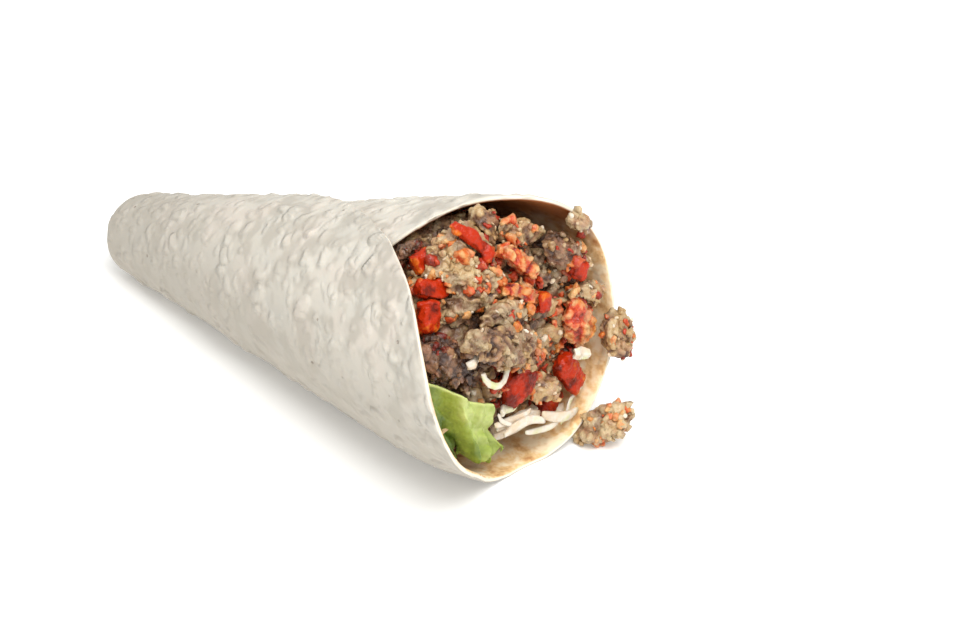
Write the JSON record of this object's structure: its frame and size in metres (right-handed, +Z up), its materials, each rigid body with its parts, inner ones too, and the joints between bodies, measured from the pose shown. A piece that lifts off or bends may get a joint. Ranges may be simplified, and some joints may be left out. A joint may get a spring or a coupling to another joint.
{
  "type": "kebab wrap",
  "caption": "Cone-rolled flour tortilla wrap lying on its side, tucked shut at the tip, with shaved meat, red pepper, onion, cabbage and lettuce showing at its open mouth.",
  "frame": {"origin": "on the pressed-flat strip that the wrap rests on, 100 mm from the tip along the floor", "axes": "+X from the tucked tip to the open mouth, +Z up, +Y to the side away from the long near lip"},
  "size_m": [0.2064, 0.0936, 0.0828],
  "materials": {
    "tortilla": "floury matt baked flatbread, embossed with small blisters",
    "meat": "moist roast meat, pebbled and glistening",
    "pepper": "wet red pepper",
    "onion": "wet pale onion and cabbage shreds",
    "lettuce": "crisp leaf, softly glossy"
  },
  "bodies": {
    "root": {"tortilla": "tortilla", "meat_filling": "meat", "lettuce": "lettuce", "meat_over_rim": "meat", "meat_rim_top": "meat", "meat_scrap": "meat", "onion_curl": "onion", "onion_bit": "onion", "onion_side": "onion", "onion_pink": "onion", "cabbage_low": "onion", "cabbage_side": "onion", "pepper_right": "pepper", "pepper_right_low": "pepper", "pepper_bottom": "pepper", "pepper_low": "pepper", "pepper_top": "pepper", "pepper_left_upper": "pepper", "pepper_left_middle": "pepper", "pepper_left_lower": "pepper", "pepper_centre_top": "pepper", "pepper_centre": "pepper", "pepper_dice": "pepper", "pepper_top_right": "pepper", "meat_front": "meat", "meat_middle": "meat", "meat_centre": "meat", "meat_top": "meat", "meat_top_middle": "meat", "meat_top_right": "meat", "meat_right": "meat", "meat_left_top": "meat", "meat_left_low": "meat", "meat_low": "meat"}
  },
  "joints": []
}
